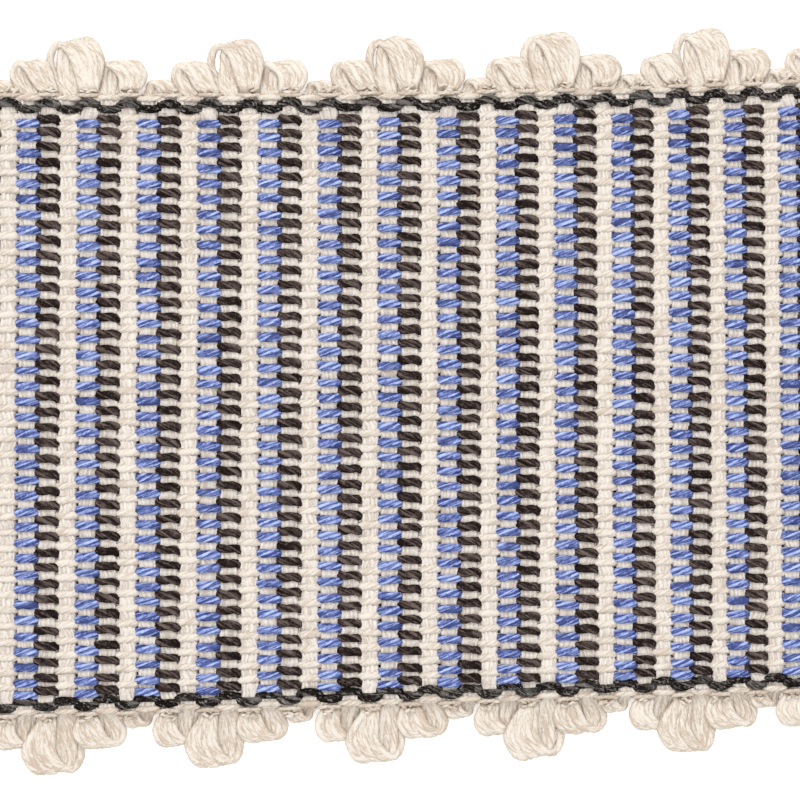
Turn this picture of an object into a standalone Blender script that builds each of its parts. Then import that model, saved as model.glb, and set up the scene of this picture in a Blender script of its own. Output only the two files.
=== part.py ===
"""A cut length of woven tape trim: a ribbed band, a dark line inside each edge, and looped picots outside it.

Units are metres. +X runs along the tape, +Y across it and +Z up, and the tape lies face up on z = 0.
The origin is on the back of the middle rib, half way across the band.
"""

import bmesh
import bpy

MM = 0.001

# Ribs: each is one thick bundle of weft. They are counted from the left end, and n from the middle rib.
RIB_COUNT = 48
MIDDLE_RIB = 23
RIB_PITCH = 2.238 * MM  # at the middle rib
PITCH_FALL = 0.0029 * MM  # x = pitch n - fall n^2 - bend n^3: the ribs crowd together to the right
PITCH_BEND = 0.000076 * MM
RIB_LEAN = 0.0229  # sideways, for each metre across the tape
RIB_LEAN_FALL = 0.00034  # less lean for each rib to the right

# Outline: the half width is measured from the middle line to the outside of the dark edge line.
HALF_WIDTH = 33.8 * MM
WIDTH_TAPER = 0.0080  # narrower, for each metre along the tape
WIDTH_FLARE = 0.13  # for each metre squared
BOW = 0.173  # the whole tape bends a little towards +Y at both ends

# Band
BAND_THICKNESS = 2.4 * MM
RIB_SHOULDER = 0.28  # of a pitch, either side of a rib's crest
SHOULDER_DROP = 0.10 * MM
GROOVE_DEPTH = 0.45 * MM
BACK_GROOVE_DEPTH = 0.35 * MM

# Dark edge cord: it snakes from rib to rib, because its two yarns pass over every other rib.
CORD_WIDTH = 1.2 * MM
CORD_HEIGHT = 2.3 * MM
CORD_FLAT = 0.7 * MM
CORD_INSET = 0.95 * MM  # from the edge line to the cord's middle
CORD_SNAKE = 0.37 * MM
GAP = 0.3 * MM  # between pieces, and between strands

# Picots: looped strands on a narrow backing. They hang from every second rib.
BACKING_REACH = 1.0 * MM  # its outer wall, from the edge line
BACKING_HEIGHT = 2.0 * MM
STRAND_THICKNESS = 0.65 * MM
FIRST_ROOT = {+1: 0, -1: 2}
ROOT_STEP = 2
LOOP_SHIFT = 0.5  # ribs: a loop joins its rib to the next one, right on the far edge and left on the near one
# Order of the four picots in a repeat, then each kind's sizes. A picot's strands fan out from its base to its
# tip, and its waist is where a big one passes between its neighbours. The lean moves its tip along the edge.
PICOT_ORDER = ("medium_right", "tiny", "medium_left", "big")
PICOTS = {
    #               strands  reach      base half  waist half  tip half   lean, far   lean, near
    "big":          (5, 7.20 * MM, 1.75 * MM, 2.30 * MM, 3.25 * MM, -0.45 * MM, -0.35 * MM),
    "medium_left":  (4, 4.45 * MM, 1.80 * MM, 2.05 * MM, 2.30 * MM, -1.25 * MM, -0.35 * MM),
    "medium_right": (4, 4.45 * MM, 1.80 * MM, 2.20 * MM, 2.60 * MM, +0.35 * MM, +0.45 * MM),
    "tiny":         (3, 2.30 * MM, 1.50 * MM, 1.50 * MM, 1.50 * MM, 0.0, 0.0),
}
WAIST_AT = 0.55  # of a picot's length
CROWN_AT = 0.86
CROWN_DROP = 0.12 * MM  # where the upper leg starts to turn down
FAN_ROUNDING = 0.25  # how much less far the outermost strands reach
TIP_NARROWING = 0.75
TIP_TURN = (1.25 * MM, 0.40 * MM)  # heights on the outside of the turn, from the upper leg to the lower
EYE_TURN = (1.10 * MM, 0.70 * MM)  # and on its inside
EYE_END = 0.55 * MM  # from the tip to the loop's inside

LEFT_END = -0.5
RIGHT_END = RIB_COUNT - 0.5
FAR, NEAR = +1, -1

CREAM = (0.74, 0.66, 0.56)
DARK = (0.035, 0.030, 0.028)


def middle_x(rib):
    """Where a rib crosses the middle line. A fraction of a rib counts too."""
    n = rib - MIDDLE_RIB
    return RIB_PITCH * n - PITCH_FALL * n**2 - PITCH_BEND * n**3


def edge_line(rib):
    """Distance from the middle line to the outside of the dark edge line."""
    x = middle_x(rib)
    return HALF_WIDTH - WIDTH_TAPER * x + WIDTH_FLARE * x**2


def place(rib, across, z):
    """The point at this rib and this distance from the middle line."""
    x = middle_x(rib)
    lean = RIB_LEAN - RIB_LEAN_FALL * (rib - MIDDLE_RIB)
    return (x + across * lean, BOW * x**2 + across, z)


def at_edge(side, rib, outward, z):
    """The point this far outside the edge line of one side."""
    return place(rib, side * (edge_line(rib) + outward), z)


def snake(rib):
    """The cord's middle, measured from the edge line: further out at the odd ribs."""
    return -CORD_INSET + CORD_SNAKE * (1 - 2 * abs(rib % 2 - 1))


def material(name, colour, roughness):
    made = bpy.data.materials.new(name)
    made.use_nodes = True
    shader = made.node_tree.nodes["Principled BSDF"]
    shader.inputs["Base Color"].default_value = (*colour, 1.0)
    shader.inputs["Roughness"].default_value = roughness
    shader.inputs["Metallic"].default_value = 0.0
    made.diffuse_color = (*colour, 1.0)
    return made


def add_object(name, mesh_builder, look):
    """Makes an object of a finished bmesh, with its faces turned outwards."""
    bmesh.ops.recalc_face_normals(mesh_builder, faces=mesh_builder.faces)
    mesh = bpy.data.meshes.new(name)
    mesh_builder.to_mesh(mesh)
    mesh_builder.free()
    mesh.materials.append(look)
    made = bpy.data.objects.new(name, mesh)
    bpy.context.scene.collection.objects.link(made)
    return made


def loft(bm, rings, closed_ends=True):
    """Joins rings of the same number of vertices by quads, and caps both ends."""
    size = len(rings[0])
    for a, b in zip(rings, rings[1:]):
        for i in range(size):
            j = (i + 1) % size
            bm.faces.new((a[i], a[j], b[j], b[i]))
    if closed_ends:
        bm.faces.new(rings[0])
        bm.faces.new(rings[-1])


def stations():
    """Along the tape, four for each rib, with the front and back height at each."""
    crest = (BAND_THICKNESS, 0.0)
    shoulder = (BAND_THICKNESS - SHOULDER_DROP, 0.0)
    groove = (BAND_THICKNESS - GROOVE_DEPTH, BACK_GROOVE_DEPTH)
    for rib in range(RIB_COUNT):
        yield rib - 0.5, *groove
        yield rib - RIB_SHOULDER, *shoulder
        yield float(rib), *crest
        yield rib + RIB_SHOULDER, *shoulder
    yield RIGHT_END, *groove


def build_band(look):
    """The woven band: one sheet with its ribs raised on the front and grooved on the back."""
    bm = bmesh.new()
    inset = CORD_WIDTH / 2 + GAP
    rings = []
    for rib, front, back in stations():
        outward = snake(rib) - inset
        corners = ((FAR, front), (FAR, back), (NEAR, back), (NEAR, front))
        rings.append([bm.verts.new(at_edge(side, rib, outward, z)) for side, z in corners])
    loft(bm, rings)
    return add_object("woven_tape", bm, look)


def build_dark_cord(name, side, look):
    """The dark line inside one edge, as one snaking cord with a flat foot."""
    bm = bmesh.new()
    section = (
        (-CORD_WIDTH / 2, CORD_HEIGHT / 2),
        (-CORD_FLAT / 2, CORD_HEIGHT),
        (CORD_FLAT / 2, CORD_HEIGHT),
        (CORD_WIDTH / 2, CORD_HEIGHT / 2),
        (CORD_FLAT / 2, 0.0),
        (-CORD_FLAT / 2, 0.0),
    )
    rings = []
    for rib in (LEFT_END, *range(RIB_COUNT), RIGHT_END):
        rings.append([bm.verts.new(at_edge(side, rib, snake(rib) + out, z)) for out, z in section])
    loft(bm, rings)
    return add_object(name, bm, look)


class Strand:
    """One looped strand of a picot: where its middle and its half width lie at any share of its length."""

    def __init__(self, centre, fan, kind, side):
        count, reach, base, waist, tip, lean_far, lean_near = PICOTS[kind]
        self.centre, self.fan, self.count = centre, fan, count
        self.reach = reach * (1 - FAN_ROUNDING * fan**2)
        self.halves = ((0.0, base), (WAIST_AT, waist), (1.0, tip))
        self.lean = lean_far if side == FAR else lean_near

    def fan_half(self, share):
        for (s0, h0), (s1, h1) in zip(self.halves, self.halves[1:]):
            if share <= s1:
                return h0 + (h1 - h0) * (share - s0) / (s1 - s0)
        return self.halves[-1][1]

    def edges(self, share, narrowing=1.0):
        """The strand's two edges along the tape, in ribs."""
        half_fan = self.fan_half(share)
        half = (half_fan / self.count - GAP / 2) * narrowing
        middle = self.lean * share + self.fan * half_fan
        return [self.centre + (middle + sign * half) / RIB_PITCH for sign in (-1, 1)]

    def outward(self, share):
        return BACKING_REACH + (self.reach - BACKING_REACH) * share


def strands_of(side):
    """All the strands of one edge, from left to right."""
    found = []
    for root in range(FIRST_ROOT[side], RIB_COUNT, ROOT_STEP):
        kind = PICOT_ORDER[root // ROOT_STEP % len(PICOT_ORDER)]
        count = PICOTS[kind][0]
        for i in range(count):
            fan = (2 * i + 1) / count - 1
            found.append(Strand(root + side * LOOP_SHIFT, fan, kind, side))
    return found


def loop_stations(strand):
    """(share of the length, top height) along the upper leg of a loop, from the backing out."""
    if strand.count == PICOTS["big"][0]:
        yield WAIST_AT, BACKING_HEIGHT
    yield CROWN_AT, BACKING_HEIGHT - CROWN_DROP


def add_loop(bm, strand, side, upper_foot, lower_foot):
    """Adds one hairpin loop between its two feet in the backing's wall. Its lower leg lies on the floor."""

    def ring(share, outside_z, inside_z, narrowing=1.0, eye=0.0):
        left, right = strand.edges(share, narrowing)
        outside = strand.outward(share)
        inside = outside - eye
        inner = [(rib, inside, inside_z) for rib in (left, right)]
        outer = [(rib, outside, outside_z) for rib in (right, left)]
        return [bm.verts.new(at_edge(side, *corner)) for corner in inner + outer]

    shares = list(loop_stations(strand))
    upper = [ring(share, top, top - STRAND_THICKNESS) for share, top in shares]
    lower = [ring(share, 0.0, STRAND_THICKNESS) for share, top in shares]
    turn = [ring(1.0, tip, eye, TIP_NARROWING, EYE_END) for tip, eye in zip(TIP_TURN, EYE_TURN)]
    loft(bm, [upper_foot, *upper, *turn, *reversed(lower), lower_foot], closed_ends=False)


def stitch(bm, one, other):
    """Fills between two rows of (place, vertex), each in order along the tape, with triangles."""
    i = j = 0
    while i < len(one) - 1 or j < len(other) - 1:
        step_one = j == len(other) - 1 or (i < len(one) - 1 and one[i + 1][0] <= other[j + 1][0])
        if step_one:
            bm.faces.new((one[i][1], one[i + 1][1], other[j][1]))
            i += 1
        else:
            bm.faces.new((one[i][1], other[j + 1][1], other[j][1]))
            j += 1


def build_picot_edge(name, side, look):
    """One edge's picots, fused to their backing. Every second cell of its wall is the foot of a loop."""
    bm = bmesh.new()
    strands = strands_of(side)
    wall_at = [LEFT_END]
    for strand in strands:
        wall_at.extend(strand.edges(0.0))
    wall_at.append(RIGHT_END)

    heights = (0.0, STRAND_THICKNESS, BACKING_HEIGHT - STRAND_THICKNESS, BACKING_HEIGHT)
    wall = [[bm.verts.new(at_edge(side, rib, BACKING_REACH, z)) for rib in wall_at] for z in heights]
    back_at = (LEFT_END, *range(RIB_COUNT), RIGHT_END)
    inset = CORD_WIDTH / 2 + GAP
    back = [
        [bm.verts.new(at_edge(side, rib, snake(rib) + inset, z)) for rib in back_at]
        for z in (0.0, BACKING_HEIGHT)
    ]

    lower_row, upper_row = 0, 2
    for row in range(len(heights) - 1):
        for cell in range(len(wall_at) - 1):
            is_foot = cell % 2 == 1 and row in (lower_row, upper_row)
            if not is_foot:
                a, b = wall[row][cell : cell + 2]
                d, c = wall[row + 1][cell : cell + 2]
                bm.faces.new((a, b, c, d))
    for i in range(len(back_at) - 1):
        bm.faces.new((back[0][i], back[0][i + 1], back[1][i + 1], back[1][i]))
    stitch(bm, list(zip(wall_at, wall[0])), list(zip(back_at, back[0])))
    stitch(bm, list(zip(wall_at, wall[-1])), list(zip(back_at, back[1])))
    for end in (0, -1):
        bm.faces.new([row[end] for row in wall] + [back[1][end], back[0][end]])

    for i, strand in enumerate(strands):
        left = 1 + 2 * i
        low, low_in, high_in, high = [(row[left], row[left + 1]) for row in wall]
        upper_foot = [high_in[0], high_in[1], high[1], high[0]]
        lower_foot = [low_in[0], low_in[1], low[1], low[0]]
        add_loop(bm, strand, side, upper_foot, lower_foot)
    return add_object(name, bm, look)


def main():
    for old in list(bpy.data.objects):
        bpy.data.objects.remove(old)
    band_look = material("woven_stripe", CREAM, 0.85)
    dark_look = material("dark_yarn", DARK, 0.9)
    picot_look = material("picot_yarn", CREAM, 0.7)
    build_band(band_look)
    build_dark_cord("dark_edge_far", FAR, dark_look)
    build_dark_cord("dark_edge_near", NEAR, dark_look)
    build_picot_edge("picot_edge_far", FAR, picot_look)
    build_picot_edge("picot_edge_near", NEAR, picot_look)


main()
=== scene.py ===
"""The looks of a cut length of woven tape trim: every yarn of its weave, its dark edge lines and its looped picots.

Lengths below are in millimetres, as the yarns are thought of, and become metres where a mesh is made.
A rib is counted from the left cut end, and a place is given as (rib, across), with across measured from the
middle line towards the far edge.
"""

import math

import bpy
import numpy as np
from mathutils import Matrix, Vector


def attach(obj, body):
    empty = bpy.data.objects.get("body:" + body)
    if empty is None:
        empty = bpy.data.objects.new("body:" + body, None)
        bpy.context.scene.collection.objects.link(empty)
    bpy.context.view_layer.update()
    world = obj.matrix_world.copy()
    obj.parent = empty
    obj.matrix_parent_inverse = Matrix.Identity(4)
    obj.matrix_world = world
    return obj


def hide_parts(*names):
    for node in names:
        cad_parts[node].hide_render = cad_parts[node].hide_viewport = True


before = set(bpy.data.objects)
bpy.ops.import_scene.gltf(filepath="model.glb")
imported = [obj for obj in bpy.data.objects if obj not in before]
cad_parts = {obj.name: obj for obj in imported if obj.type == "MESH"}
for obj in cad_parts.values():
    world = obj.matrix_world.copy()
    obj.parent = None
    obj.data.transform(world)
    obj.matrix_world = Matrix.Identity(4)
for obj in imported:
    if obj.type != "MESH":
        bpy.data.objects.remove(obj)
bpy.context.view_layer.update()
rng = np.random.default_rng(7)

MM = 0.001

# The tape's plan, as its solids have it
RIB_COUNT = 48
MIDDLE_RIB = 23
RIB_PITCH = 2.238
PITCH_FALL = 0.0029
PITCH_BEND = 0.000076
RIB_LEAN = 0.0229
RIB_LEAN_FALL = 0.00034
HALF_WIDTH = 33.8
WIDTH_TAPER = 0.0080
WIDTH_FLARE = 0.00013
BOW = 0.000173
FAR, NEAR = +1, -1

# Warp rows, counted from the far edge. A row has a dark, a blue and a cream warp side by side.
ROW_COUNT = 38
FIRST_ROW_IN = 2.67  # from the edge line to the first blue warp
LAST_ROW_IN = 1.70
FIRST_STEP = 1.50  # the outermost rows are pressed together
LAST_STEP = 1.42
CREAM_EXTRA_IN = 1.95  # the far edge has one cream warp more, and the near edge one fewer

CUT_LEFT = -0.44
CUT_RIGHT = RIB_COUNT - 1 + 0.44


def middle_x(rib):
    n = np.asarray(rib, float) - MIDDLE_RIB
    return RIB_PITCH * n - PITCH_FALL * n**2 - PITCH_BEND * n**3


def edge_line(rib):
    x = middle_x(rib)
    return HALF_WIDTH - WIDTH_TAPER * x + WIDTH_FLARE * x**2


def lean_of(rib):
    return RIB_LEAN - RIB_LEAN_FALL * (np.asarray(rib, float) - MIDDLE_RIB)


def place(rib, across, z):
    """Points in millimetres, one for each entry of the three arrays."""
    x = middle_x(rib)
    across = np.asarray(across, float)
    return np.stack(np.broadcast_arrays(x + across * lean_of(rib), BOW * x**2 + across, z), axis=-1)


def local_pitch(rib):
    """How far apart the ribs are at this rib, against the pitch at the middle."""
    return (middle_x(np.asarray(rib) + 0.5) - middle_x(np.asarray(rib) - 0.5)) / RIB_PITCH


def smooth_noise(count, step, reach):
    """A wandering value at count evenly spaced points, soft over step points, up to about reach."""
    knots = rng.normal(0, reach * 0.6, count // step + 3)
    return np.interp(np.arange(count) / step, np.arange(len(knots)), knots)


class MeshParts:
    """Gathers closed tubes into one mesh, with the yarn's own coordinates on every point."""

    def __init__(self):
        self.points, self.quads, self.tris, self.fibre, self.tone, self.crease_shade = [], [], [], [], [], []
        self.count = 0

    def add_tube(self, rings, fibre, tone, crease_shade):
        """rings is (ring, side, 3) in millimetres. Each end is closed by a fan."""
        ring_count, sides, _ = rings.shape
        base = self.count
        index = base + np.arange(ring_count * sides).reshape(ring_count, sides)
        a, b = index[:-1], index[1:]
        quads = np.stack([a, b, np.roll(b, -1, 1), np.roll(a, -1, 1)], axis=-1).reshape(-1, 4)
        first, last = base + ring_count * sides, base + ring_count * sides + 1
        start, end = index[0], index[-1]
        fans = [
            np.stack([np.full(sides, first), start, np.roll(start, -1)], axis=-1),
            np.stack([np.full(sides, last), np.roll(end, -1), end], axis=-1),
        ]
        centres = np.stack([rings[0].mean(0), rings[-1].mean(0)])
        self.points += [rings.reshape(-1, 3), centres]
        self.quads.append(quads)
        self.tris += fans
        self.fibre += [fibre.reshape(-1, 3), np.stack([fibre[0].mean(0), fibre[-1].mean(0)])]
        tone = np.broadcast_to(tone if tone.ndim == 2 else tone[:, None], (ring_count, sides))
        self.tone += [tone.ravel(), tone[[0, -1], 0]]
        self.crease_shade += [np.broadcast_to(crease_shade, (ring_count, sides)).ravel(), np.zeros(2)]
        self.count += ring_count * sides + 2

    def build(self, name, material, nodes=()):
        points = np.concatenate(self.points) * MM
        quads, tris = np.concatenate(self.quads), np.concatenate(self.tris)
        if signed_volume(points, quads) < 0:
            quads, tris = quads[:, ::-1], tris[:, ::-1]
        mesh = bpy.data.meshes.new(name)
        mesh.vertices.add(len(points))
        mesh.vertices.foreach_set("co", points.astype(np.float32).ravel())
        mesh.loops.add(quads.size + tris.size)
        mesh.loops.foreach_set("vertex_index", np.concatenate([quads.ravel(), tris.ravel()]).astype(np.int32))
        mesh.polygons.add(len(quads) + len(tris))
        starts = np.concatenate([np.arange(len(quads)) * 4, quads.size + np.arange(len(tris)) * 3])
        mesh.polygons.foreach_set("loop_start", starts.astype(np.int32))
        mesh.update(calc_edges=True)
        mesh.validate()
        mesh.polygons.foreach_set("use_smooth", np.ones(len(mesh.polygons), bool))
        add_attribute(mesh, "fibre", "FLOAT_VECTOR", "vector", np.concatenate(self.fibre))
        add_attribute(mesh, "tone", "FLOAT", "value", np.concatenate(self.tone))
        # The last attribute holds the painted shade: how far each point is darkened, between plies and strands and
        # where a yarn lies against the next one.
        add_attribute(mesh, "crease_shade", "FLOAT", "value", np.concatenate(self.crease_shade))
        mesh.materials.append(material)
        made = bpy.data.objects.new(name, mesh)
        bpy.context.scene.collection.objects.link(made)
        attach(made, "root")
        if nodes:
            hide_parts(*nodes)
        return made


def signed_volume(points, quads):
    a, b, c, d = (points[quads[:, i]] for i in range(4))
    return np.einsum("ij,ij->", a, np.cross(b, c)) + np.einsum("ij,ij->", a, np.cross(c, d))


def add_attribute(mesh, name, kind, field, values):
    layer = mesh.attributes.new(name, kind, "POINT")
    layer.data.foreach_set(field, np.ascontiguousarray(values, np.float32).ravel())


def unit(v):
    return v / np.maximum(np.linalg.norm(v, axis=-1, keepdims=True), 1e-9)


def yarn_tube(parts, path, across, half_width, half_height, sides, plies, ply_pitch, groove, tone, flank_shade=0.0, between=1.0):
    """A plied yarn along path. Its section is an ellipse, cut by a groove between each two plies.

    The mesh turns with the twist, so a groove follows one line of points. The last two arguments give how far
    painted shade darkens the yarn's two sides, where it lies against the next one, and the lines between its plies.
    """
    step = np.linalg.norm(np.diff(path, axis=0), axis=1)
    along = np.concatenate([[0.0], np.cumsum(step)])
    tangent = unit(np.gradient(path, axis=0))
    side = unit(across - tangent * np.sum(across * tangent, axis=-1, keepdims=True))
    up = np.cross(tangent, side)
    column = np.arange(sides) / sides * 2 * np.pi
    turn = column[None, :] - 2 * np.pi * along[:, None] / ply_pitch + rng.uniform(0, 2 * np.pi)
    lobes = np.abs(np.sin(plies * column / 2))
    radius = 1 - groove * (1 - lobes)
    out = (np.cos(turn) * half_width[:, None] * radius)[..., None] * side[:, None]
    rise = (np.sin(turn) * half_height[:, None] * radius)[..., None] * up[:, None]
    rings = path[:, None] + out + rise
    round_about = np.stack([np.cos(column), np.sin(column)], axis=-1) * half_width.mean()
    fibre = np.empty((*turn.shape, 3))
    fibre[..., 0] = along[:, None] + rng.uniform(0, 1000)
    fibre[..., 1:] = round_about[None]
    ply_tone = np.repeat(rng.normal(0, 0.5, plies), sides // plies)
    # Painted shade: darker between the plies, and on the yarn's two sides where it lies against the next one.
    crease_shade = np.maximum(between * (1 - lobes)[None, :], flank_shade * np.cos(turn) ** 4)
    parts.add_tube(rings, fibre, tone[:, None] + ply_tone[None], crease_shade)


# The weave. Each warp passes over the ribs of its own colour and under the two between them.

WEFT_TOP = 1.86
STATIONS = (-0.80, -0.60, -0.49, -0.38, -0.20, 0.0, 0.20, 0.38, 0.49, 0.60, 0.80)
PATH_AT = (0.0, 0.20, 0.38, 0.49, 0.60, 0.80, 1.5)  # ribs from the rib that the warp floats over
PATH_Z = (2.11, 2.09, 2.00, 1.82, 1.34, 0.46, 0.36)
PATH_HALF_WIDTH = (0.55, 0.56, 0.56, 0.54, 0.46, 0.36, 0.32)
PATH_HALF_HEIGHT = (0.38, 0.38, 0.37, 0.36, 0.35, 0.32, 0.31)
BACK_OFFSET = 0.57
CREAM, BLUE, DARK = 0, 1, 2  # a rib's number modulo 3
STRIPE = 3
WARPS = {
    #       row offset   lean, up     float      float   side    plies  ply   groove  set    pull at the end
    #       on the face  to the right  width    height   count        pitch         deeper   left   right
    CREAM: (-0.60, +0.010, 0.96, 0.72, 8, 4, 4.4, 0.22, 0.27, -0.05, +0.05),
    BLUE: (0.0, -0.010, 0.97, 1.02, 12, 4, 5.8, 0.34, 0.0, -0.03, 0.0),
    DARK: (+0.65, -0.015, 0.96, 0.95, 12, 3, -5.2, 0.30, 0.0, +0.06, -0.26),
}
OUTER_ROWS = ((0, 0.68), (1, 0.80), (ROW_COUNT - 2, 0.80), (ROW_COUNT - 1, 0.68))  # where rows are pressed together


def float_offsets(colour):
    """How far the floats of each row lie from the blue warp's line."""
    offsets = np.full(ROW_COUNT, WARPS[colour][0])
    for row, share in OUTER_ROWS:
        offsets[row] *= share
    return offsets


def row_places(rib):
    """Across of the blue warp of every row at these ribs: (row, rib)."""
    half = edge_line(rib)
    first, last = half - FIRST_ROW_IN, -half + LAST_ROW_IN
    inner_first, inner_last = first - FIRST_STEP, last + LAST_STEP
    share = np.linspace(0, 1, ROW_COUNT - 2)[:, None]
    inner = inner_first * (1 - share) + inner_last * share
    return np.concatenate([first[None], inner, last[None]])


def warp_stations(colour):
    """Ribs at which a warp of this colour has a ring, from one cut end to the other."""
    floats = np.arange(colour - STRIPE, RIB_COUNT + STRIPE + 1, STRIPE)
    ribs = (floats[:, None] + np.array(STATIONS)[None]).ravel()
    inside = ribs[(ribs > CUT_LEFT + 0.04) & (ribs < CUT_RIGHT - 0.04)]
    return np.concatenate([[CUT_LEFT], inside, [CUT_RIGHT]])


FLOAT_HAIRS = 500
HAIR_HALF_WIDTH = 0.016
HAIR_TONE = 4.0


def add_hair(parts, rib, across, z, length):
    """A loose fibre that lies on the yarns from this place."""
    start = place(rib, across, z)
    heading = rng.uniform(-0.9, 0.9) + math.pi * rng.integers(2)
    bend = rng.normal(0, 0.9)
    share = np.linspace(0, 1, 6)
    angle = heading + bend * share
    step = np.stack([np.cos(angle), np.sin(angle), np.zeros(6)], axis=1) * length / 5
    path = start + np.cumsum(step, axis=0)
    path[:, 2] += 0.08 * np.sin(share * math.pi) - 0.12 * share**2 + rng.normal(0, 0.03)
    level = np.stack([-np.sin(angle), np.cos(angle), np.zeros(6)], axis=1)
    thick = HAIR_HALF_WIDTH * np.sin(0.4 + 2.4 * share)
    yarn_tube(parts, path, level, thick, thick, 3, 1, 5.0, 0.0, np.full(6, HAIR_TONE))


def add_float_hairs(parts):
    for _ in range(FLOAT_HAIRS):
        rib = rng.integers(RIB_COUNT // STRIPE) * STRIPE + DARK
        row = rng.integers(ROW_COUNT)
        line = row_places(np.array([float(rib)]))[row, 0] + float_offsets(DARK)[row]
        add_hair(parts, rib + rng.uniform(-0.5, 0.5), line + rng.normal(0, 0.22), 2.50, rng.uniform(0.4, 1.1))


def build_warps(name, colour, material, nodes=()):
    _, lean, wide, high, sides, plies, pitch, groove, deeper, pull_left, pull_right = WARPS[colour]
    offsets = float_offsets(colour)
    parts = MeshParts()
    ribs = warp_stations(colour)
    nearest = np.round((ribs - colour) / STRIPE) * STRIPE + colour
    t = ribs - nearest
    z = np.interp(np.abs(t), PATH_AT, PATH_Z) - deeper * np.interp(np.abs(t), (0.3, 0.6), (1.0, 0.0))
    half_w = np.interp(np.abs(t), PATH_AT, PATH_HALF_WIDTH) * wide
    half_h = np.interp(np.abs(t), PATH_AT, PATH_HALF_HEIGHT) * high
    on_face = np.interp(np.abs(t), (0.60, 0.80), (1.0, 0.0))
    pull = np.interp(t, (-0.80, -0.56, -0.32, 0.32, 0.56, 0.80), (0, pull_left, 0, 0, pull_right, 0))
    back = {CREAM: -BACK_OFFSET, BLUE: 0.0, DARK: BACK_OFFSET}[colour]
    rows = row_places(ribs)
    float_id = ((nearest - colour) / STRIPE).astype(int) + 2
    tangent_side = unit(np.stack([lean_of(ribs), np.ones(len(ribs)), np.zeros(len(ribs))], axis=-1))
    for row in range(ROW_COUNT):
        offset = offsets[row]
        if colour == CREAM:
            line = edge_line(ribs) - CREAM_EXTRA_IN - offset if row == 0 else rows[row - 1]
        else:
            line = rows[row]
        per_float = rng.normal(0, 1, (5, float_id.max() + 1))
        shift = per_float[0][float_id] * 0.055 * on_face
        tilt = (lean + 0.03 * per_float[1][float_id]) * t * RIB_PITCH * on_face
        swell = 1 + 0.05 * per_float[2][float_id] * on_face
        lift = 0.03 * per_float[3][float_id] * on_face
        across = line + offset * on_face + back * (1 - on_face) + shift + tilt + pull
        path = place(ribs, across, z + lift)
        tone = per_float[4][float_id] * 0.4 + rng.normal(0, 0.25)
        swell = swell * (1 + rng.normal(0, 0.035, len(ribs)))
        yarn_tube(parts, path, tangent_side, half_w * swell, half_h, sides, plies, pitch, groove, tone)
    if colour == DARK:
        add_float_hairs(parts)
    return parts.build(name, material, nodes)


# The weft. A rib is a bundle of strands side by side, pressed down under each float and swelling between them.

WEFT_SECTION = np.array((
    (-1.05, 1.10), (-1.00, 1.64), (-0.78, 1.92), (-0.52, 1.82), (-0.26, 1.97), (0.0, 1.84), (0.26, 1.97), (0.52, 1.82),
    (0.78, 1.92), (1.00, 1.64), (1.05, 1.10), (0.78, 0.66), (0.39, 0.58), (0.0, 0.69), (-0.39, 0.58), (-0.78, 0.66),
))
# How far each point of the section is darkened with painted shade: between the strands and down the rib's two sides,
# where it dives between the ribs.
WEFT_CREASE_SHADE = np.array((0.7, 0.3, 0, 1, 0, 1, 0, 1, 0, 0.3, 0.7, 0, 0, 1, 0, 0), float)
STRAND_MOVES = np.array((0, 0.3, 1, 1, 1, 1, 1, 1, 1, 0.3, 0, 0, 0, 0, 0, 0))  # by how much a point follows its strand
WEFT_STRAND = np.array((0, 0, 0, 1, 1, 2, 2, 3, 3, 3, 3, 3, 2, 1, 1, 0))
WEFT_OUT = 0.55  # how far a rib's end lies outside the edge line
PRESSED = 0.76  # a rib's width and height under a float


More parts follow.
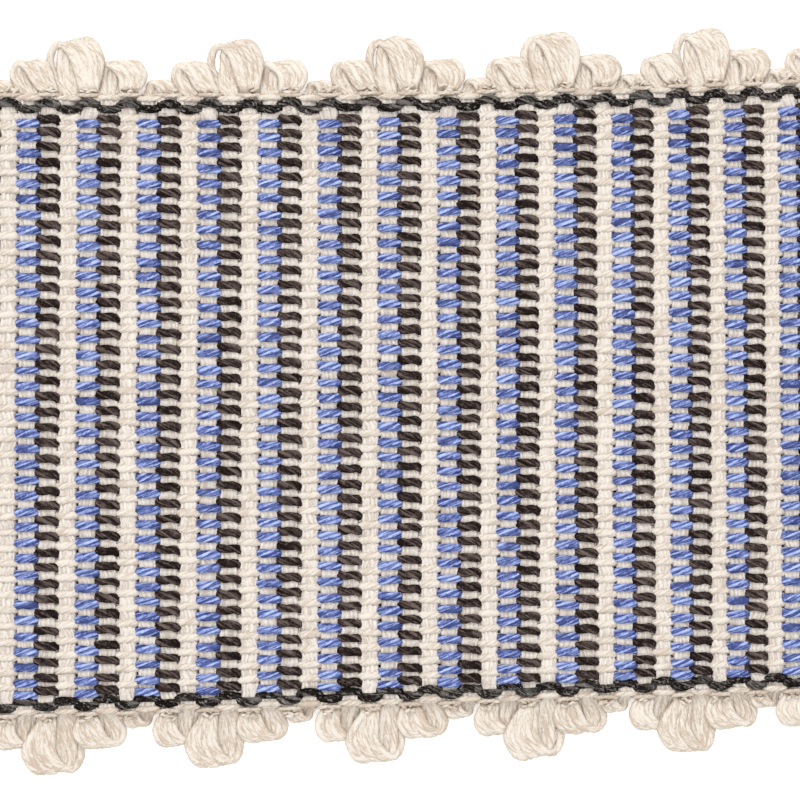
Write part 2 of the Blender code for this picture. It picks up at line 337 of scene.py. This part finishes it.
def build_wefts(material):
    parts = MeshParts()
    middle_z = 1.2
    for rib in range(RIB_COUNT):
        colour = rib % STRIPE
        floats = row_places(np.array([float(rib)]))[:, 0] + float_offsets(colour)
        half = float(edge_line(rib))
        gaps = np.diff(floats)
        swollen = np.concatenate([floats[:-1] + gaps * 0.36, floats[:-1] + gaps * 0.64])
        edges = [half + WEFT_OUT, half + WEFT_OUT - 0.12, half - 0.3, half - 1.2, floats[0] + 0.5,
                 floats[-1] - 0.5, -half + 1.0, -half + 0.3, -half - WEFT_OUT + 0.12, -half - WEFT_OUT]
        at = np.concatenate([floats, swollen, edges])
        size = np.concatenate([np.full(len(floats), PRESSED), np.ones(len(swollen)),
                               [0.55, 0.95, 1.10, 0.98, 0.98, 0.98, 0.98, 1.10, 0.95, 0.55]])
        order = np.argsort(at)
        at, size = at[order], size[order]
        count = len(at)
        wander = smooth_noise(count, 6, 0.07)
        roll = smooth_noise(count, 5, 0.07)
        swell = size * (1 + rng.normal(0, 0.012, count))
        section = np.repeat(WEFT_SECTION[None], count, axis=0)
        patch = np.searchsorted(floats[::-1], at)
        patch_shift = rng.normal(0, 0.08, len(floats) + 1)
        patch_slant = rng.normal(-0.03, 0.05, len(floats) + 1)
        from_middle = at - 0.5 * (np.interp(patch - 1, np.arange(len(floats)), floats[::-1])
                                  + np.interp(patch, np.arange(len(floats)), floats[::-1]))
        follow = (patch_shift[patch] + patch_slant[patch] * from_middle / 0.25)[:, None] * STRAND_MOVES[None]
        strand_shift = follow + rng.normal(0, 0.035, (count, len(WEFT_SECTION))) * STRAND_MOVES[None]
        strand_lift = rng.normal(0, 0.030, (count, len(WEFT_SECTION)))
        is_top = WEFT_SECTION[:, 1] > middle_z
        x = (section[..., 0] * local_pitch(rib) + strand_shift) * np.interp(swell, (0.5, 1.0), (0.8, 1.0))[:, None]
        z = middle_z + (section[..., 1] - middle_z) * np.where(is_top, swell[:, None], 1.0)
        z = z + (strand_lift * is_top) + x * roll[:, None]
        centre = place(np.full(count, float(rib)), at, 0.0)
        rings = np.repeat(centre[:, None], len(WEFT_SECTION), axis=1)
        rings[..., 0] += x + wander[:, None]
        rings[..., 2] = z
        fibre = np.empty_like(rings)
        fibre[..., 0] = at[:, None] + rng.uniform(0, 1000)
        fibre[..., 1] = WEFT_SECTION[:, 0]
        fibre[..., 2] = WEFT_SECTION[:, 1]
        strand_tone = rng.normal(0, 0.7, 4)[WEFT_STRAND]
        tone = (smooth_noise(count, 3, 0.8) + rng.normal(0, 0.25))[:, None] + strand_tone[None]
        parts.add_tube(rings, fibre, tone, WEFT_CREASE_SHADE[None])
    return parts.build("weft_ribs", material, ("woven_tape",))


# The edge warps. They are woven plain: two dark ones and two cream ones on each side, over every second rib.

EDGE_STATIONS = (-1.0, -0.60, -0.49, -0.38, -0.20, 0.0, 0.20, 0.38, 0.49, 0.60)
EDGE_Z = (2.02, 2.01, 1.92, 1.74, 1.35, 0.42)
EDGE_AT = (0.0, 0.20, 0.38, 0.49, 0.60, 1.0)
ODD, EVEN = 1, 0
# In the tone column, cream_outer's low value darkens it, a painted shade for the crevices it lies in at the picots'
# feet; the dark yarns' low values are their own darker colour.
EDGE_YARNS = {
    #              outside the   over     half width  half height  plies  pitch  groove  pull at   tone
    #              edge line                                                             its ends
    "cream_outer": (+0.50, ODD, 0.28, 0.26, 4, 2.6, 0.16, 0.10, -1.6),
    "cream_inner": (+0.16, EVEN, 0.38, 0.32, 4, 3.6, 0.14, 0.0, 0.0),
    "dark_outer": (-0.33, ODD, 0.54, 0.42, 3, -6.0, 0.14, -0.28, -0.8),
    "dark_inner": (-1.07, EVEN, 0.51, 0.42, 3, -6.0, 0.14, +0.20, -0.8),
}
SIDE_NAMES = {FAR: "far", NEAR: "near"}


def add_edge_yarn(parts, side, outside, parity, half_width, half_height, plies, pitch, groove, pull, shade):
    floats = np.arange(parity - 2, RIB_COUNT + 3, 2)
    ribs = (floats[:, None] + np.array(EDGE_STATIONS)[None]).ravel()
    ribs = ribs[(ribs > CUT_LEFT + 0.04) & (ribs < CUT_RIGHT - 0.04)]
    ribs = np.concatenate([[CUT_LEFT], ribs, [CUT_RIGHT]])
    nearest = np.round((ribs - parity) / 2) * 2 + parity
    t = ribs - nearest
    float_id = ((nearest - parity) / 2).astype(int) + 1
    per_float = rng.normal(0, 1, (3, float_id.max() + 1))
    on_face = np.interp(np.abs(t), (0.3, 0.6), (1.0, 0.0))
    z = np.interp(np.abs(t), EDGE_AT, EDGE_Z) + 0.03 * per_float[0][float_id] * on_face
    drawn = pull * np.interp(np.abs(t), (0.15, 0.38, 0.60, 0.9), (0.0, 0.5, 1.0, 0.0))
    across = side * (edge_line(ribs) + outside + drawn) + 0.06 * per_float[1][float_id] * on_face
    narrow = np.interp(np.abs(t), (0.2, 0.5), (1.0, 0.86))
    path = place(ribs, across, z)
    tangent_side = unit(np.stack([lean_of(ribs), np.ones(len(ribs)), np.zeros(len(ribs))], axis=-1))
    tone = shade + 0.8 * per_float[2][float_id] + rng.normal(0, 0.5, len(ribs))
    uneven = 1 + rng.normal(0, 0.07, len(ribs))
    width, height = half_width * narrow * uneven, half_height * uneven
    yarn_tube(parts, path, tangent_side, width, height, 12, plies, pitch, groove, tone)


EDGE_HAIRS = 300


def build_dark_edge(side, material):
    parts = MeshParts()
    for name in ("dark_outer", "dark_inner"):
        add_edge_yarn(parts, side, *EDGE_YARNS[name])
    for _ in range(EDGE_HAIRS):
        rib = rng.uniform(0, RIB_COUNT - 1)
        outside = rng.choice((-0.33, -1.05)) + rng.normal(0, 0.22)
        add_hair(parts, rib, side * (float(edge_line(rib)) + outside), 2.42, rng.uniform(0.4, 1.1))
    label = SIDE_NAMES[side]
    return parts.build(f"dark_edge_yarns_{label}", material, (f"dark_edge_{label}",))


# Picots. Every second rib's weft runs out into loops of one of four sizes, and comes back into the next rib.

PICOT_ORDER = ("medium_right", "tiny", "medium_left", "big")
PICOTS = {
    #               loops  reach  half   tip's shift   strand's half  slot
    #                             width  far    near   width  height  width
    "big": (6, 7.35, 3.42, -0.50, -0.50, 0.50, 0.31, 0.98),
    "medium_left": (5, 4.65, 2.52, -0.92, -0.38, 0.45, 0.29, 0.16),
    "medium_right": (5, 4.65, 3.00, +0.22, +0.30, 0.46, 0.29, 0.16),
    "tiny": (4, 2.45, 1.65, 0.0, 0.0, 0.37, 0.27, 0.0),
}
FIRST_ROOT = {FAR: 0, NEAR: 2}
ROOT_STEP = 2
LOOP_RINGS = 31
LOOP_SIDES = 9
ROOT_SPREAD = 0.80
SLOT_SHARE = {FAR: 1.0, NEAR: 0.45}  # the outermost loop stands off from the next, less so on the near side


def catmull(points, count):
    """count points evenly along a smooth curve through these points."""
    p = np.concatenate([[2 * points[0] - points[1]], points, [2 * points[-1] - points[-2]]])
    u = np.linspace(0, 1, 12, endpoint=False)[:, None]
    pieces = []
    for a, b, c, d in zip(p, p[1:], p[2:], p[3:]):
        pieces.append(0.5 * (2 * b + (c - a) * u + (2 * a - 5 * b + 4 * c - d) * u**2 + (3 * b - a - 3 * c + d) * u**3))
    fine = np.concatenate([*pieces, points[-1:]])
    length = np.concatenate([[0], np.cumsum(np.linalg.norm(np.diff(fine, axis=0), axis=1))])
    wanted = np.linspace(0, length[-1], count)
    return np.stack([np.interp(wanted, length, fine[:, i]) for i in range(3)], axis=1)


def add_loop(parts, side, root, kind, i, grown, opened):
    """One loop, in its own picture of the edge: u along the tape, v outwards, both turned half round on the near side.

    It runs out of the root rib, arches over to the right and comes back on top into the next rib. grown is this
    picot's size and opened its slot, each against the usual one of its kind.
    """
    count, reach, half_width, far_shift, near_shift, thick, height, slot = PICOTS[kind]
    shift = far_shift if side == FAR else -near_shift
    reach, half_width = reach * grown, half_width * grown
    share = i / (count - 1)
    jitter = rng.normal(0, 1, 9)
    pitch = RIB_PITCH * float(local_pitch(root))
    first, span = pitch / 2 + shift - half_width + thick, 2 * (half_width - thick)
    out_u = (2 * share - 1) * ROOT_SPREAD + 0.05 * jitter[3]
    back_u = pitch + (2 * share - 1) * ROOT_SPREAD * 0.9 + 0.05 * jitter[4]
    gap = SLOT_SHARE[side] * opened * slot * (1 - share) if 0 < i < count - 1 else 0.0
    left = first + span * 0.46 * share + gap + 0.06 * jitter[0]
    leg = out_u + (left - gap - out_u) * 0.52
    right = first + span * (0.50 + 0.50 * share) + 0.04 * jitter[1]
    over = first + span * (0.30 + 0.56 * share) + 0.05 * jitter[8]
    top = (reach - thick) * (0.955 + 0.045 * share + 0.014 * jitter[2])
    low = 0.48 + 0.10 * (i % 2) + 0.02 * jitter[5]
    high = 1.14 + 0.10 * (i % 2) + 0.03 * jitter[6]
    points = np.array((
        (out_u * 0.9, -0.9, 1.20),
        (out_u, -0.1, 1.30),
        (out_u - 0.05, 0.10 * top + 0.2, 1.10),
        (leg, 0.36 * top, low + 0.16),
        (left, 0.64 * top, low),
        (left + 0.04 * (over - left), 0.82 * top, low + 0.05),
        (left + 0.26 * (over - left), 0.95 * top, (low + high) / 2 - 0.12),
        (left + 0.60 * (over - left), top, (low + high) / 2 + 0.12),
        (over, 0.945 * top, high - 0.06),
        (over + 0.55 * (right - over), 0.83 * top, high + 0.05),
        (right, 0.65 * top, high + 0.08),
        (right + (back_u - right) * 0.50, 0.40 * top, high + 0.08),
        (back_u - 0.06, 0.12 * top + 0.65, 1.45),
        (back_u, 0.85, 1.05),
        (back_u, 0.10, 0.85),
    ))
    curve = catmull(points, LOOP_RINGS)
    rib = root + side * curve[:, 0] / pitch
    across = side * (edge_line(rib) + curve[:, 1])
    path = place(rib, across, np.maximum(curve[:, 2], height + 0.02))
    upright = np.broadcast_to((0.0, 0.0, 1.0), path.shape)
    tangent = unit(np.gradient(path, axis=0))
    level = unit(np.cross(upright, tangent))
    near_foot = np.interp(curve[:, 1], (0.2, 0.45 * top), (0.80, 1.0))
    swell = (1 + smooth_noise(LOOP_RINGS, 4, 0.09)) * near_foot
    tone = np.full(LOOP_RINGS, 0.7 * jitter[7])
    # The strands get painted shade on their sides, where they lie against each other, and between their plies.
    yarn_tube(parts, path, level, swell * thick, swell * height, LOOP_SIDES, 3, 6.5, 0.07, tone, flank_shade=1.0,
              between=0.30)


KNOTS = 9


def add_knot(parts, side, rib):
    """A short bit of the edge yarn, where it ties the returning strands down behind this rib."""
    heading = rng.uniform(-0.8, 0.8)
    share = np.linspace(-1, 1, 7)
    step = share[:, None] * np.array((math.cos(heading), math.sin(heading), 0.0)) * rng.uniform(0.30, 0.55)
    across = float(edge_line(rib)) + rng.uniform(0.45, 1.45)
    start = place(rib + rng.uniform(-0.36, 0.36), side * across, rng.uniform(1.75, 2.05))
    path = start + step
    path[:, 2] -= 0.45 * share**2
    level = np.broadcast_to((-math.sin(heading), math.cos(heading), 0.0), path.shape)
    thick = rng.uniform(0.12, 0.22) * np.sqrt(1.05 - 0.8 * share**2)
    yarn_tube(parts, path, level, thick, thick, 8, 2, 2.5, 0.12, np.full(7, rng.normal(-0.8, 1.8)))


def build_picots(side, material):
    parts = MeshParts()
    for name in ("cream_outer", "cream_inner"):
        add_edge_yarn(parts, side, *EDGE_YARNS[name])
    for root in range(FIRST_ROOT[side], RIB_COUNT, ROOT_STEP):
        kind = PICOT_ORDER[root // ROOT_STEP % len(PICOT_ORDER)]
        grown, opened = 1 + rng.uniform(-0.035, 0.035), rng.uniform(0.1, 1.2)
        for i in range(PICOTS[kind][0]):
            add_loop(parts, side, root, kind, i, grown, opened)
        for _ in range(KNOTS):
            add_knot(parts, side, root + side)
    label = SIDE_NAMES[side]
    return parts.build(f"picots_{label}", material, (f"picot_edge_{label}",))


# Materials. A yarn's colour varies along its fibres and from yarn to yarn, and is darkened with painted shade between
# its plies and strands and where it lies against the next yarn.

STREAK_SCALE = 1.7
STREAK_SHARE = 1.7
GRAIN_SHARE = 0.55
LEVEL_START = -0.595


def node(tree, kind, **inputs):
    made = tree.nodes.new(kind)
    for name, value in inputs.items():
        made.inputs[name.replace("_", " ")].default_value = value
    return made


def yarn_material(name, deep_and_shade, base, bright, roughness, gloss, sheen, crease_shading, fleck=0.0, fleck_colour=(1, 1, 1)):
    """The three colours are linear: the dark end of the fibre streaks, which is also the painted shade in the creases,
    the yarn's own colour, and the pale end of the streaks, partly a painted highlight on lit fibres.
    """
    made = bpy.data.materials.new(name)
    made.use_nodes = True
    tree = made.node_tree
    shader = tree.nodes["Principled BSDF"]
    shader.inputs["Metallic"].default_value = 0.0
    shader.inputs["Sheen Weight"].default_value = sheen
    shader.inputs["Sheen Roughness"].default_value = 0.5
    shader.inputs["Specular IOR Level"].default_value = gloss
    link = tree.links.new

    fibre = node(tree, "ShaderNodeAttribute")
    fibre.attribute_name = "fibre"
    stretch = node(tree, "ShaderNodeVectorMath")
    stretch.operation = "MULTIPLY"
    stretch.inputs[1].default_value = (0.30, 2.2, 2.2)
    link(fibre.outputs["Vector"], stretch.inputs[0])
    streaks = node(tree, "ShaderNodeTexNoise", Scale=STREAK_SCALE, Detail=4.0, Roughness=0.6)
    link(stretch.outputs[0], streaks.inputs["Vector"])
    soft = node(tree, "ShaderNodeTexNoise", Scale=3.6, Detail=2.0, Roughness=0.6)
    link(fibre.outputs["Vector"], soft.inputs["Vector"])

    tone = node(tree, "ShaderNodeAttribute")
    tone.attribute_name = "tone"
    tone_share = node(tree, "ShaderNodeMath")
    tone_share.operation = "MULTIPLY_ADD"
    tone_share.inputs[1].default_value = 0.07
    tone_share.inputs[2].default_value = LEVEL_START
    link(tone.outputs["Fac"], tone_share.inputs[0])
    mixed = node(tree, "ShaderNodeMath")
    mixed.operation = "MULTIPLY_ADD"
    mixed.inputs[1].default_value = GRAIN_SHARE
    link(soft.outputs["Fac"], mixed.inputs[0])
    link(tone_share.outputs[0], mixed.inputs[2])
    level = node(tree, "ShaderNodeMath")
    level.operation = "MULTIPLY_ADD"
    level.inputs[1].default_value = STREAK_SHARE
    link(streaks.outputs["Fac"], level.inputs[0])
    link(mixed.outputs[0], level.inputs[2])

    ramp = node(tree, "ShaderNodeValToRGB")
    ramp.color_ramp.elements[0].position = 0.38
    ramp.color_ramp.elements[0].color = (*deep_and_shade, 1)
    ramp.color_ramp.elements[1].position = 0.68
    ramp.color_ramp.elements[1].color = (*bright, 1)
    middle = ramp.color_ramp.elements.new(0.53)
    middle.color = (*base, 1)
    link(level.outputs[0], ramp.inputs["Fac"])

    # The painted shade in the creases pulls the colour towards the dark end.
    crease_shade = node(tree, "ShaderNodeAttribute")
    crease_shade.attribute_name = "crease_shade"
    crease_shade_share = node(tree, "ShaderNodeMath")
    crease_shade_share.operation = "MULTIPLY"
    crease_shade_share.inputs[1].default_value = crease_shading
    link(crease_shade.outputs["Fac"], crease_shade_share.inputs[0])
    shade = node(tree, "ShaderNodeMix")
    shade.data_type = "RGBA"
    link(crease_shade_share.outputs[0], shade.inputs["Factor"])
    link(ramp.outputs["Color"], shade.inputs["A"])
    shade.inputs["B"].default_value = (*deep_and_shade, 1)
    colour = shade.outputs["Result"]

    if fleck:
        flecks = node(tree, "ShaderNodeTexNoise", Scale=3.2, Detail=2.0, Roughness=0.7)
        link(fibre.outputs["Vector"], flecks.inputs["Vector"])
        pick = node(tree, "ShaderNodeMapRange", From_Min=0.58, From_Max=0.68, To_Max=fleck)
        link(flecks.outputs["Fac"], pick.inputs["Value"])
        spotted = node(tree, "ShaderNodeMix")
        spotted.data_type = "RGBA"
        spotted.inputs["B"].default_value = (*fleck_colour, 1)
        link(pick.outputs["Result"], spotted.inputs["Factor"])
        link(colour, spotted.inputs["A"])
        colour = spotted.outputs["Result"]
    link(colour, shader.inputs["Base Color"])

    rough = node(tree, "ShaderNodeMapRange", From_Min=0.3, From_Max=0.7, To_Min=roughness - 0.08, To_Max=roughness + 0.08)
    link(streaks.outputs["Fac"], rough.inputs["Value"])
    link(rough.outputs["Result"], shader.inputs["Roughness"])
    bump = node(tree, "ShaderNodeBump", Strength=0.55, Distance=0.00009)
    link(streaks.outputs["Fac"], bump.inputs["Height"])
    link(bump.outputs["Normal"], shader.inputs["Normal"])
    return made


# Camera, light and floor

MM_PER_PIXEL = 0.1125
IMAGE_SIDE = 800
TILT = math.radians(1.39)
MIDDLE_RIB_PIXEL = (409.5, 398.8)
LENS, SENSOR = 110.0, 36.0


def add_camera():
    """Straight above the tape, turned so that the tape rises a little to the right, as it is photographed."""
    right = (IMAGE_SIDE / 2 - MIDDLE_RIB_PIXEL[0]) * MM_PER_PIXEL
    up = (MIDDLE_RIB_PIXEL[1] - IMAGE_SIDE / 2) * MM_PER_PIXEL
    x = right * math.cos(TILT) + up * math.sin(TILT)
    y = -right * math.sin(TILT) + up * math.cos(TILT)
    data = bpy.data.cameras.new("camera")
    data.lens, data.sensor_width = LENS, SENSOR
    face_height = 2.0
    distance = IMAGE_SIDE * MM_PER_PIXEL * LENS / SENSOR + face_height
    made = bpy.data.objects.new("camera", data)
    made.location = Vector((x, y, distance)) * MM
    made.rotation_euler = (0, 0, -TILT)
    data.clip_start, data.clip_end = 0.01, 10
    bpy.context.scene.collection.objects.link(made)
    bpy.context.scene.camera = made


def add_area(name, place_m, size, watts, colour=(1, 1, 1)):
    data = bpy.data.lights.new(name, "AREA")
    data.shape, data.size, data.energy, data.color = "SQUARE", size, watts, colour
    made = bpy.data.objects.new(name, data)
    made.location = place_m
    made.rotation_mode = "QUATERNION"
    made.rotation_quaternion = (-Vector(place_m)).to_track_quat("-Z", "Y")
    bpy.context.scene.collection.objects.link(made)


PAPER_GLOW = 0.35  # the paper lies on a light table, so the trim throws hardly any shadow


def add_stage():
    bpy.ops.mesh.primitive_plane_add(size=3.0, location=(0, 0, -0.0002))
    floor = bpy.context.object
    floor.name = "floor"
    white = bpy.data.materials.new("white_paper")
    white.use_nodes = True
    shader = white.node_tree.nodes["Principled BSDF"]
    shader.inputs["Base Color"].default_value = (0.93, 0.93, 0.93, 1)
    shader.inputs["Emission Color"].default_value = (1, 1, 1, 1)
    shader.inputs["Emission Strength"].default_value = PAPER_GLOW
    shader.inputs["Roughness"].default_value = 0.9
    shader.inputs["Specular IOR Level"].default_value = 0.1
    floor.data.materials.append(white)
    world = bpy.data.worlds.new("studio")
    world.use_nodes = True
    background = world.node_tree.nodes["Background"]
    background.inputs["Color"].default_value = (1.0, 1.0, 1.0, 1)
    background.inputs["Strength"].default_value = 1.03
    bpy.context.scene.world = world
    add_area("key", (-0.17, 0.64, 0.71), 0.45, 4.1, (1.0, 0.99, 0.97))
    add_area("fill", (0.10, -0.45, 0.80), 0.60, 1.2, (0.97, 0.98, 1.0))
    settings = bpy.context.scene.view_settings
    settings.view_transform = "Standard"
    settings.look = "None"
    settings.exposure = 0.0


# The number after the sheen is how strongly painted shade darkens each yarn's creases.
cream_yarn = yarn_material("cream_yarn", (0.54, 0.46, 0.38), (0.715, 0.66, 0.59), (0.75, 0.70, 0.635), 0.75, 0.2, 0.0, 0.38,
                           fleck=0.35, fleck_colour=(0.62, 0.44, 0.30))
weft_yarn = yarn_material("weft_yarn", (0.53, 0.46, 0.40), (0.715, 0.655, 0.595), (0.755, 0.705, 0.645), 0.75, 0.2, 0.0, 0.42,
                          fleck=0.45, fleck_colour=(0.50, 0.41, 0.34))
blue_yarn = yarn_material("blue_yarn", (0.028, 0.045, 0.17), (0.215, 0.28, 0.66), (0.47, 0.575, 0.92), 0.45, 0.30, 0.05,
                          0.9)
dark_yarn = yarn_material("brown_black_yarn", (0.012, 0.008, 0.007), (0.040, 0.027, 0.024), (0.14, 0.105, 0.095), 0.9,
                          0.0, 0.0, 0.85, fleck=0.45, fleck_colour=(0.16, 0.125, 0.115))
edge_yarn = yarn_material("charcoal_yarn", (0.009, 0.007, 0.006), (0.027, 0.021, 0.019), (0.16, 0.145, 0.135), 0.9,
                          0.0, 0.0, 0.7, fleck=0.8, fleck_colour=(0.28, 0.26, 0.24))
picot_yarn = yarn_material("picot_yarn", (0.53, 0.435, 0.35), (0.69, 0.635, 0.56), (0.73, 0.68, 0.61), 0.7, 0.2, 0.0, 0.55,
                           fleck=0.35, fleck_colour=(0.60, 0.43, 0.30))

add_camera()
add_stage()
weft = build_wefts(weft_yarn)
with_weft = [
    build_warps("warp_blue", BLUE, blue_yarn),
    build_warps("warp_dark", DARK, dark_yarn),
    build_warps("warp_cream", CREAM, cream_yarn),
]
for side in (FAR, NEAR):
    with_weft.append(build_dark_edge(side, edge_yarn))
    with_weft.append(build_picots(side, picot_yarn))
